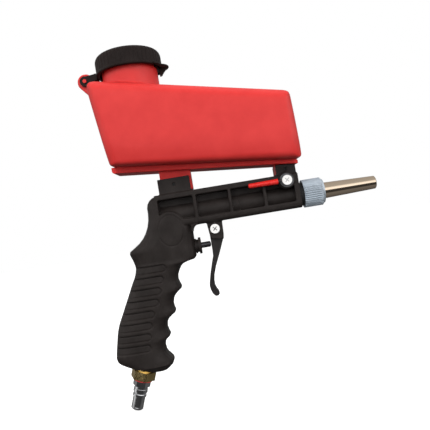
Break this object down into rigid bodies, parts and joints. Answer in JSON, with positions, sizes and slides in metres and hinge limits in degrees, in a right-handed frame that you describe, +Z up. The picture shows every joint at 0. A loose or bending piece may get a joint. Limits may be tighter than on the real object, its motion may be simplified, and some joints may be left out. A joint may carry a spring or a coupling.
{
  "type": "abrasive blasting gun",
  "caption": "Hand-held gravity-feed sand blasting gun: pistol grip and ribbed barrel, wedge hopper with flip cap on top, trigger, nozzle with knurled collar and an air inlet plug.",
  "frame": {"origin": "on the axis of the barrel and of the nozzle bore, just behind the front end of the barrel spigot", "axes": "+X along the barrel towards the nozzle tip, +Z up from the grip towards the hopper, +Y to the side away from the lever"},
  "size_m": [0.2622, 0.072, 0.3268],
  "materials": {
    "black_frame": "satin moulded plastic with a fine grain",
    "hopper_red": "glossy moulded plastic, slightly translucent",
    "cap_black": "satin ribbed plastic",
    "trigger_black": "satin black powder coat",
    "fork_black": "satin",
    "nozzle_steel": "bright nickel",
    "collar_alloy": "knurled, blue-grey anodised",
    "brass": "bright machined",
    "steel": "zinc plated",
    "plug_chrome": "bright",
    "screw_white": "pale plated head",
    "lever_red": "glossy dipped vinyl sleeve",
    "rubber": "matt",
    "seal_red": "matt fibre washer",
    "ceramic": "ceramic liner"
  },
  "bodies": {
    "gun": {"gun_body": "black_frame", "barrel_tube": "black_frame", "inlet_nut": "brass", "inlet_seal": "seal_red", "valve_seat": "brass", "packing_nut": "fork_black", "valve_spring": "steel", "air_tube": "steel", "air_jet": "brass", "mixing_liner": "steel", "barrel_ring": "rubber", "trigger_screw": "steel", "trigger_nut": "steel", "hopper_shell": "hopper_red", "hopper_base": "hopper_red", "outlet_gasket": "rubber", "rear_hopper_pin": "steel", "front_screw_left": "steel", "front_screw_right": "steel", "lug_peg": "hopper_red"},
    "trigger": {"trigger": "trigger_black"},
    "plunger": {"valve_plunger": "steel", "plunger_oring": "rubber", "valve_poppet": "brass", "poppet_seal": "rubber"},
    "media_valve": {"media_valve": "steel", "valve_retainer": "steel", "retainer_screw": "steel", "lever_arm": "steel", "lever_sleeve": "lever_red", "lever_screw": "screw_white"},
    "cap": {"hopper_cap": "cap_black", "cap_strap": "cap_black", "cap_seal": "rubber"},
    "nozzle": {"nozzle": "nozzle_steel", "nozzle_liner": "ceramic"},
    "collar": {"nozzle_collar": "collar_alloy"},
    "plug": {"air_plug": "plug_chrome"}
  },
  "joints": [
    {"name": "trigger_pull", "type": "hinge", "parent": "gun", "child": "trigger", "pos_m": [-0.088, 0, -0.0182], "axis": [0, 1, 0], "range_deg": [0, 15], "stiffness_Nm_per_rad": 0.5, "springref_deg": -17.19},
    {"name": "plunger_slide", "type": "slide", "parent": "gun", "child": "plunger", "axis": [-1, 0, 0], "range_m": [0, 0.0039], "deforming": ["valve_spring"]},
    {"name": "media_lever", "type": "hinge", "parent": "gun", "child": "media_valve", "pos_m": [-0.0175, 0, 0.0144], "axis": [0, -1, 0], "range_deg": [0, 90]},
    {"name": "cap_flip", "type": "hinge", "parent": "gun", "child": "cap", "pos_m": [-0.184, 0, 0.1345], "axis": [0, -1, 0], "range_deg": [0, 120]},
    {"name": "nozzle_out", "type": "slide", "parent": "gun", "child": "nozzle", "axis": [1, 0, 0], "range_m": [0, 0.03]},
    {"name": "collar_turn", "type": "hinge", "parent": "nozzle", "child": "collar", "pos_m": [0.005, 0, 0], "axis": [1, 0, 0], "continuous": true},
    {"name": "plug_out", "type": "slide", "parent": "gun", "child": "plug", "axis": [-0.3453, 0, -0.9385], "range_m": [0, 0.025]}
  ],
  "couplings": [
    {"joint": "plunger_slide", "follows": "trigger_pull", "m_per_rad": 0.0146}
  ]
}
